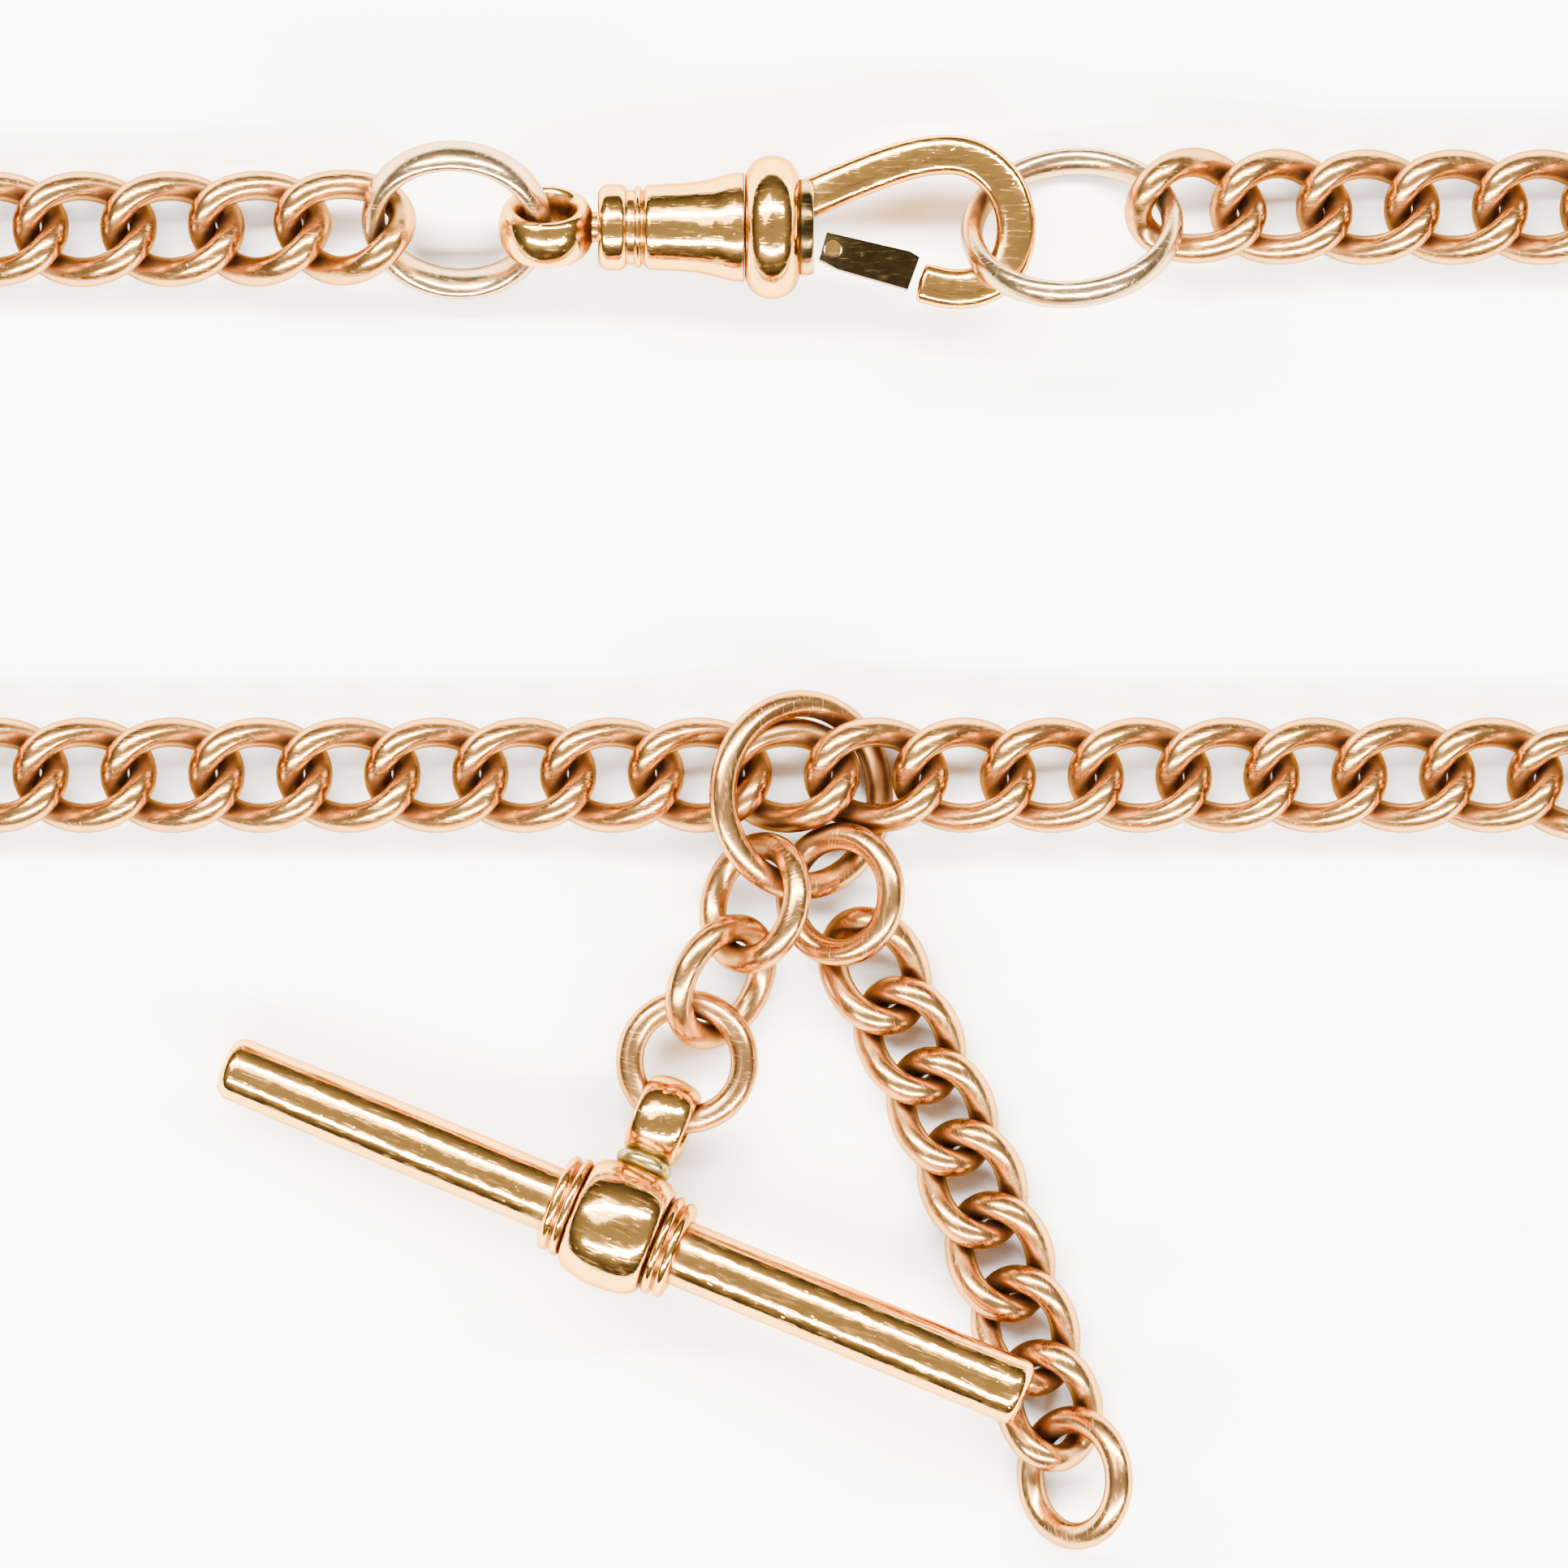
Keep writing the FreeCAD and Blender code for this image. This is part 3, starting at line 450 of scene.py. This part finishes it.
# Hook, swept along its own centre line in the swivel's frame.
HOOK_HIGH = 2.92
HOOK_LOW = -2.5
HOOK_REACH = 8.74
HOOK_WIDE = 1.6
HOOK_THICK = 1.4
hook_root = collar_start + collar_len
HOOK_LINE = [
    (0.25 / HOOK_REACH, 0.38, HOOK_HIGH), (0.30, 0.72, HOOK_HIGH), (0.60, 0.985, HOOK_HIGH),
    (0.78, 0.96, HOOK_HIGH), (0.94, 0.60, HOOK_HIGH), (1.0, -0.1, HOOK_HIGH),
    (0.94, 0.70, HOOK_LOW), (0.78, 0.99, HOOK_LOW), (0.55, 0.88, HOOK_LOW)]


def smooth_line(points, count):
    """Natural cubic through the points, spaced by chord."""
    pts = np.array(points)
    gaps = np.linalg.norm(np.diff(pts, axis=0), axis=1)
    at = np.concatenate([[0], np.cumsum(gaps)])
    n = len(pts)
    lhs = np.eye(n)
    rhs = np.zeros_like(pts)
    for i in range(1, n - 1):
        lhs[i, i - 1] = gaps[i - 1]
        lhs[i, i] = 2 * (gaps[i - 1] + gaps[i])
        lhs[i, i + 1] = gaps[i]
        rhs[i] = 6 * ((pts[i + 1] - pts[i]) / gaps[i] - (pts[i] - pts[i - 1]) / gaps[i - 1])
    bend = np.linalg.solve(lhs, rhs)
    out = []
    for s in np.linspace(0, at[-1], count):
        i = min(np.searchsorted(at, s, side="right") - 1, n - 2)
        g = gaps[i]
        u = (s - at[i]) / g
        w = 1 - u
        out.append(w * pts[i] + u * pts[i + 1]
                   + ((w ** 3 - w) * bend[i] + (u ** 3 - u) * bend[i + 1]) * g * g / 6)
    return np.array(out)


def sweep_mesh(name, line, wide, thick, corner, around=40):
    """A rounded rectangular bar along a flat line in XY, closed by domed ends."""
    run = np.gradient(line, axis=0)
    run /= np.linalg.norm(run, axis=1, keepdims=True)
    side = np.stack([-run[:, 1], run[:, 0]], axis=-1)
    u = np.linspace(0, 2 * math.pi, around, endpoint=False)
    power = 2 / corner
    across = np.sign(np.cos(u)) * np.abs(np.cos(u)) ** power * wide / 2
    up = np.sign(np.sin(u)) * np.abs(np.sin(u)) ** power * thick / 2
    rows = []
    scales = np.ones(len(line))
    scales[-3:] = (0.97, 0.85, 0.001)
    scales[0] = 0.001
    for p, s, k in zip(line, side, scales):
        flat = p[None] + s[None] * (across * k)[:, None]
        rows.append(np.column_stack([flat, up * k]))
    pts = np.array(rows)
    index = np.arange(pts.shape[0] * around).reshape(-1, around)
    a, b = index[:-1], index[1:]
    faces = np.stack([a, b, np.roll(b, -1, axis=1), np.roll(a, -1, axis=1)], axis=-1)
    mesh = bpy.data.meshes.new(name)
    mesh.from_pydata((pts.reshape(-1, 3) * MM).tolist(), [], faces.reshape(-1, 4).tolist())
    mesh.polygons.foreach_set("use_smooth", [True] * len(mesh.polygons))
    mesh.update()
    return mesh


hook_pts = smooth_line([(hook_root + x * HOOK_REACH, y * size) for x, y, size in HOOK_LINE], 220)
place(
    sweep_mesh("hook", hook_pts, HOOK_WIDE, HOOK_THICK, 3.4), "fine_hook", "swivel_hook", YELLOW,
    swivel_spot)
disc_profile = [(hook_root, 0.0), (hook_root, 1.93)] + arc(hook_root + 0.3, 1.85, 0.28, 0.1, 90, 0, 4)
disc_profile += [(hook_root + 0.58, 0.0)]
place(lathe_mesh("hook_disc", disc_profile), "hook_disc", "swivel_hook", GATE, swivel_spot, stands=False)

for name in ("swivel_post", "gate_pin"):
    kept = frame["nodes"][name]
    kept.data.materials.clear()
    kept.data.materials.append(YELLOW)

gate = frame["nodes"]["gate_lever"]
gate.data.materials.clear()
gate.data.materials.append(GATE)
soften = gate.modifiers.new("soften", "BEVEL")
soften.width = 0.10 * MM
soften.segments = 3
soften.limit_method = "ANGLE"


# ---------------------------------------------------------------- toggle

bar_centre, bar_axes = solid_frame(*node_arrays("toggle_bar"))
barrel_centre, _ = solid_frame(*node_arrays("toggle_barrel"))
eye_verts, eye_tris = node_arrays("toggle_eye")
eye_centre, _ = solid_frame(eye_verts, eye_tris)
along = bar_axes[:, 0] * (1 if bar_axes[0, 0] > 0 else -1)
toward_eye = eye_centre - barrel_centre
toward_eye -= along * (toward_eye @ along)
toward_eye /= np.linalg.norm(toward_eye)
bar_frame_axes = np.column_stack([along, toward_eye, np.cross(along, toward_eye)])
bar_spot = as_matrix(barrel_centre, bar_frame_axes)
bar_local = (node_arrays("toggle_bar")[0] - barrel_centre) @ bar_frame_axes
BAR_RAD = 1.35
left, right = bar_local[:, 0].min(), bar_local[:, 0].max()
profile = [(left, 0.0), (left, BAR_RAD * 0.6)]
profile += arc(left + 0.55, BAR_RAD * 0.6, 0.55, BAR_RAD * 0.36, 180, 90, 10)
profile += [(left + 2.5, BAR_RAD * 0.965), (left + 6, BAR_RAD), (right - 1, BAR_RAD)]
profile += arc(right - 0.5, BAR_RAD * 0.62, 0.5, BAR_RAD * 0.38, 90, 0, 10)
profile += [(right, 0.0)]
place(lathe_mesh("bar", profile), "fine_bar", "toggle_bar", YELLOW, bar_spot)

BARREL_HALF = 1.72
BARREL_SHOULDER = 2.0
COLLAR_GAP = 0.02
profile = [(-BARREL_HALF, BAR_RAD), (-BARREL_HALF, BARREL_SHOULDER)]
profile += arc(0.0, BARREL_SHOULDER, BARREL_HALF, 0.6, 180, 0, 28)
profile += [(BARREL_HALF, BAR_RAD)]
place(lathe_mesh("bar_barrel", profile), "fine_bar_barrel", "toggle_barrel", YELLOW, bar_spot)

for name, sign in (("toggle_collar_left", -1), ("toggle_collar_right", 1)):
    near = BARREL_HALF + COLLAR_GAP
    profile = [(near, BAR_RAD)]
    profile += arc(near + 0.27, 1.72, 0.25, 0.37, 180, 20, 8)
    profile += arc(near + 0.76, 1.66, 0.27, 0.36, 150, 0, 8)
    profile += [(near + 1.03, BAR_RAD)]
    profile = [(sign * x, r) for x, r in profile][::sign]
    place(lathe_mesh(name, profile), "fine_" + name, name, YELLOW, bar_spot)

EYE_REACH = 4.73
EYE_HOLE = 0.95
EYE_WALL = 0.86
EYE_WIDTH = 2.2
eye_turn = Matrix.Rotation(math.radians(90), 4, "Y")
eye_spot = bar_spot @ Matrix.Translation((0, EYE_REACH * MM, 0)) @ eye_turn
eye_mesh = grid_mesh("eye", ring_points(EYE_HOLE + EYE_WALL / 2, EYE_WALL / 2, EYE_WIDTH / 2, 96, 32))
place(eye_mesh, "fine_eye", "toggle_eye", YELLOW, eye_spot)
bead = [(2.2, 0.0), (2.2, 0.9)] + arc(2.75, 0.55, 0.42, 0.62, 150, 30, 10) + [(3.3, 0.7), (3.3, 0.0)]
bead_spot = bar_spot @ Matrix.Rotation(math.radians(90), 4, "Z")
place(lathe_mesh("bead", bead, 48), "solder_bead", "toggle_eye", SOLDER, bead_spot, stands=False)


# ---------------------------------------------------------------- floor, light and camera

def card(name, size_x, size_y, location, look_at=(0, 0, 0)):
    """A flat rectangle that faces a point; sizes are in metres."""
    bpy.ops.mesh.primitive_plane_add(size=1)
    made = bpy.context.object
    made.name = name
    made.scale = (size_x, size_y, 1)
    made.location = location
    aim = Vector(look_at) - Vector(location)
    if aim.length > 1e-6:
        made.rotation_mode = "QUATERNION"
        made.rotation_quaternion = aim.to_track_quat("-Z", "Y")
    return made


def plain(name, colour, roughness):
    """An even material for the floor and the cards out of view."""
    mat = bpy.data.materials.new(name)
    mat.use_nodes = True
    shader = mat.node_tree.nodes["Principled BSDF"]
    shader.inputs["Base Color"].default_value = (*colour, 1)
    shader.inputs["Roughness"].default_value = roughness
    return mat


floor = card("floor", 3, 3, (0, 0, 0))
floor.rotation_quaternion = (1, 0, 0, 0)
floor.data.materials.append(plain("floor_white", (0.93, 0.93, 0.93), 0.9))

view = Vector((VIEW_X, VIEW_Y, 2.0)) * MM
black = plain("black_card", (0.01, 0.01, 0.01), 0.8)
phone = card("phone", 0.10, 0.016, view + Vector((0, 0, 0.42)), view)
phone.data.materials.append(black)
person = card("person", 0.30, 0.12, view + Vector((0, -0.55, 0.24)), view)
person.data.materials.append(black)


def strip(name, size_x, size_y, offset, watts):
    data = bpy.data.lights.new(name, "AREA")
    data.shape = "RECTANGLE"
    data.size = size_x
    data.size_y = size_y
    data.energy = watts
    data.color = WARM_WHITE
    lamp = bpy.data.objects.new(name, data)
    bpy.context.scene.collection.objects.link(lamp)
    lamp.location = view + Vector(offset)
    lamp.rotation_mode = "QUATERNION"
    lamp.rotation_quaternion = (-Vector(offset)).to_track_quat("-Z", "Y")


strip("strip_far", STRIP_LONG, STRIP_DEEP, (0, 0.25, 0.40), STRIP_WATTS)
strip("strip_near", STRIP_LONG, STRIP_DEEP, (0, -0.32, 0.36), STRIP_WATTS)
strip("fill", 1.2, 0.9, (-0.5, 0.7, 1.3), FILL_WATTS)

world = bpy.data.worlds.new("tent")
world.use_nodes = True
bpy.context.scene.world = world
sky = world.node_tree
back = sky.nodes["Background"]
aim = sky.nodes.new("ShaderNodeTexCoord")
split = sky.nodes.new("ShaderNodeSeparateXYZ")
climb = sky.nodes.new("ShaderNodeMapRange")
climb.interpolation_type = "SMOOTHSTEP"
climb.inputs["From Min"].default_value = 0.05
climb.inputs["From Max"].default_value = 0.85
climb.inputs["To Min"].default_value = SKY_LOW
climb.inputs["To Max"].default_value = SKY_HIGH
sky.links.new(aim.outputs["Generated"], split.inputs[0])
sky.links.new(split.outputs[2], climb.inputs["Value"])
sky.links.new(climb.outputs[0], back.inputs["Strength"])
back.inputs["Color"].default_value = (1.0, 0.98, 0.96, 1)

camera_data = bpy.data.cameras.new("camera")
camera_data.lens = LENS
camera_data.sensor_width = SENSOR
camera = bpy.data.objects.new("camera", camera_data)
bpy.context.scene.collection.objects.link(camera)
camera.location = view + Vector((0, 0, VIEW_WIDE * MM * LENS / SENSOR))
camera_data.clip_end = 10
camera_data.clip_start = 0.01
bpy.context.scene.camera = camera

bpy.context.view_layer.update()
